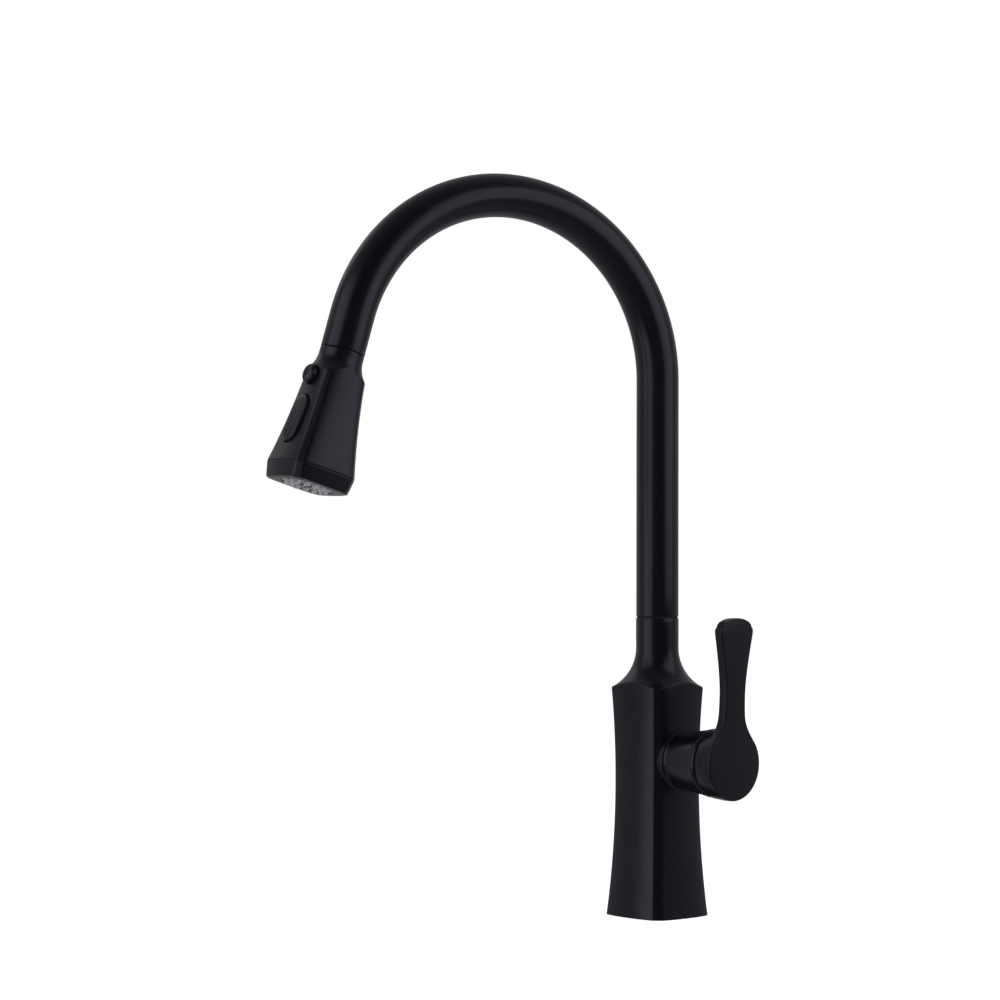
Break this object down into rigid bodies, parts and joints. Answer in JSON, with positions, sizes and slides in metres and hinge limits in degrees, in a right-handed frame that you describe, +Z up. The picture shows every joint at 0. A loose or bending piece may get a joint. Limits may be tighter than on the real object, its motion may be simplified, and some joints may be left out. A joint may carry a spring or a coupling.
{
  "type": "pull-down kitchen faucet",
  "caption": "Kitchen faucet with a square waisted column, side lever, high round gooseneck and a docked pull-down spray head with a push button and a rocker.",
  "frame": {"origin": "the column's axis at the deck surface, which is the centre of the deck hole", "axes": "+Z up, -Y towards the sink and the user, +X towards the lever; the spout rests turned 12.9 degrees from -Y towards -X"},
  "size_m": [0.1365, 0.2667, 0.5359],
  "materials": {
    "matte_black_metal": "satin black coating on brass and zinc",
    "matte_black_plastic": "satin black moulded plastic",
    "grey_plastic": "glossy grey moulded plastic and silicone",
    "brass": "machined",
    "steel": "stainless, turned",
    "copper": "drawn copper tube",
    "rubber": "moulded rubber",
    "acetal": "moulded natural acetal",
    "ceramic": "lapped ceramic",
    "hose_braid": "woven nylon sleeve"
  },
  "bodies": {
    "base": {"body_casting": "matte_black_metal", "base_gasket": "rubber", "mounting_shank": "brass", "deck_washer_rubber": "rubber", "deck_washer_steel": "steel", "mounting_nut": "brass", "jack_screw_left": "steel", "jack_screw_right": "steel", "hose_guide": "acetal", "hot_inlet_tail": "copper", "cold_inlet_tail": "copper", "outlet_tail": "copper", "hot_inlet_fitting": "brass", "cold_inlet_fitting": "brass", "outlet_fitting": "brass", "swivel_lock_screw": "steel", "lower_swivel_bush": "acetal", "upper_swivel_bush": "acetal", "valve_manifold": "brass", "cartridge_gasket": "rubber", "cartridge_body": "acetal", "fixed_ceramic_disc": "ceramic", "cartridge_nut": "brass", "bonnet_dome": "matte_black_metal"},
    "spout": {"spout_tube": "matte_black_metal", "spout_foot": "brass", "swivel_slip_ring": "rubber", "lower_spout_seal": "rubber", "upper_spout_seal": "rubber", "pull_hose": "hose_braid", "hose_end_fitting": "brass", "dock_insert": "acetal", "dock_magnet": "steel"},
    "hose_end": {"hose_coupling": "brass", "hose_ferrule": "steel", "hose_tail": "hose_braid", "coupling_seal": "rubber"},
    "spray_head": {"head_shell": "matte_black_plastic", "head_waterway": "acetal", "check_valve": "acetal", "button_carrier": "acetal", "rocker_pin": "steel", "pause_spring": "steel", "spray_surround": "matte_black_plastic", "nozzle_pad": "grey_plastic", "spray_face_plate": "grey_plastic", "stream_insert": "grey_plastic"},
    "pause": {"pause_button": "matte_black_plastic"},
    "rocker": {"rocker_button": "matte_black_plastic"},
    "spool": {"diverter_spool": "acetal"},
    "valve_rotor": {"cartridge_rotor": "acetal", "stem_pin": "steel"},
    "disc": {"moving_ceramic_disc": "ceramic"},
    "lever": {"cartridge_stem": "brass", "lever_handle": "matte_black_metal", "lever_set_screw": "steel", "set_screw_plug": "matte_black_metal"}
  },
  "joints": [
    {"name": "spout_swivel", "type": "hinge", "parent": "base", "child": "spout", "pos_m": [0, 0, 0.175], "axis": [0, 0, 1], "range_deg": [-77, 103]},
    {"name": "head_pull", "type": "slide", "parent": "spout", "child": "hose_end", "axis": [-0.061, -0.2657, -0.9621], "range_m": [0, 0.24], "deforming": ["hose_tail"]},
    {"name": "head_turn", "type": "hinge", "parent": "hose_end", "child": "spray_head", "pos_m": [-0.04618, -0.20115, 0.32208], "axis": [0.061, 0.2657, 0.9621], "range_deg": [-180, 180]},
    {"name": "pause_press", "type": "slide", "parent": "spray_head", "child": "pause", "axis": [0.1018, 0.9572, -0.2708], "range_m": [0, 0.0018], "stiffness_N_per_m": 500, "deforming": ["pause_spring"]},
    {"name": "rocker_tilt", "type": "hinge", "parent": "spray_head", "child": "rocker", "pos_m": [-0.05003, -0.22375, 0.28283], "axis": [0.9929, -0.1145, -0.0313], "range_deg": [-4, 4]},
    {"name": "spool_slide", "type": "slide", "parent": "spray_head", "child": "spool", "axis": [0.061, 0.2657, 0.9621], "range_m": [-0.0009, 0.0009]},
    {"name": "lever_turn", "type": "hinge", "parent": "base", "child": "valve_rotor", "pos_m": [0.0353, 0, 0.0913], "axis": [1, 0, 0], "range_deg": [-45, 45]},
    {"name": "lever_lift", "type": "hinge", "parent": "valve_rotor", "child": "lever", "pos_m": [0.0353, 0, 0.0913], "axis": [0, 1, 0], "range_deg": [0, 20]},
    {"name": "disc_slide", "type": "slide", "parent": "valve_rotor", "child": "disc", "axis": [0, 0, 1], "range_m": [0, 0.0035]}
  ],
  "couplings": [
    {"joint": "disc_slide", "follows": "lever_lift", "m_per_rad": 0.0096},
    {"joint": "spool_slide", "follows": "rocker_tilt", "m_per_rad": 0.012}
  ]
}
